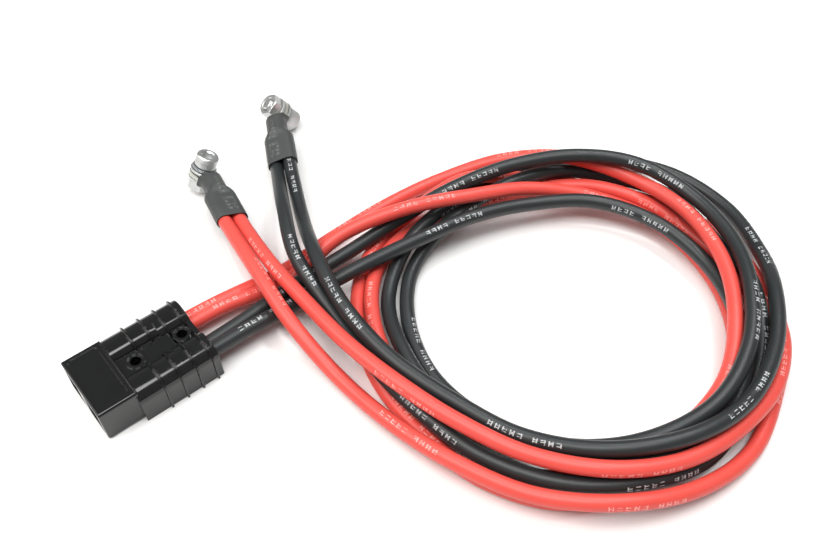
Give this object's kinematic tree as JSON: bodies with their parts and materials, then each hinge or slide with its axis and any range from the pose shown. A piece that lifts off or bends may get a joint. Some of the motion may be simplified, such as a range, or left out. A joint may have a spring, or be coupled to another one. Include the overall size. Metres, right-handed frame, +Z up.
{
  "type": "two-pole power connector cable",
  "caption": "Two-pole power connector housing with red and black leads, looped once, ending in ring terminals with screws, washers and nuts.",
  "frame": {"origin": "centre of the housing's underside, on the surface it lies on", "axes": "+X from the mating end towards the leads, +Y to the side the red leads leave by, +Z up"},
  "size_m": [0.2697, 0.2682, 0.0251],
  "materials": {
    "housing": "moulded gloss black",
    "contact": "silver-plated copper",
    "spring_steel": "bright spring steel",
    "jacket_red": "satin silicone",
    "jacket_black": "satin silicone",
    "conductor": "bare stranded copper",
    "lug": "tin-plated copper",
    "heat_shrink": "satin dark grey sleeve",
    "zinc": "bright zinc plate"
  },
  "bodies": {
    "assembly": {"housing": "housing", "contact_left": "contact", "contact_right": "contact", "contact_spring_left": "spring_steel", "contact_spring_right": "spring_steel", "lead_red_1": "jacket_red", "lead_red_2": "jacket_red", "lead_black_1": "jacket_black", "lead_black_2": "jacket_black", "strand_in_red_1": "conductor", "strand_in_red_2": "conductor", "strand_in_black_1": "conductor", "strand_in_black_2": "conductor", "ring_terminal_red": "lug", "heat_shrink_red": "heat_shrink", "strand_out_red_1": "conductor", "strand_out_red_2": "conductor", "washer_upper_red": "zinc", "washer_lower_red": "zinc", "lock_washer_red": "spring_steel", "ring_terminal_black": "lug", "heat_shrink_black": "heat_shrink", "strand_out_black_1": "conductor", "strand_out_black_2": "conductor", "washer_upper_black": "zinc", "washer_lower_black": "zinc", "lock_washer_black": "spring_steel"},
    "screw_red": {"cap_screw_red": "zinc"},
    "nut_red": {"hex_nut_red": "zinc"},
    "screw_black": {"cap_screw_black": "zinc"},
    "nut_black": {"hex_nut_black": "zinc"}
  },
  "joints": [
    {"name": "screw_turn_red", "type": "hinge", "parent": "assembly", "child": "screw_red", "pos_m": [0.07537, 0.07578, 0.01564], "axis": [0.4441, -0.0944, 0.891], "continuous": true},
    {"name": "nut_turn_red", "type": "hinge", "parent": "screw_red", "child": "nut_red", "pos_m": [0.0698, 0.07697, 0.00446], "axis": [0.4441, -0.0944, 0.891], "continuous": true},
    {"name": "screw_turn_black", "type": "hinge", "parent": "assembly", "child": "screw_black", "pos_m": [0.12646, 0.08671, 0.00512], "axis": [0.5875, -0.2356, -0.7742], "continuous": true},
    {"name": "nut_turn_black", "type": "hinge", "parent": "screw_black", "child": "nut_black", "pos_m": [0.11909, 0.08967, 0.01483], "axis": [0.5875, -0.2356, -0.7742], "continuous": true}
  ]
}
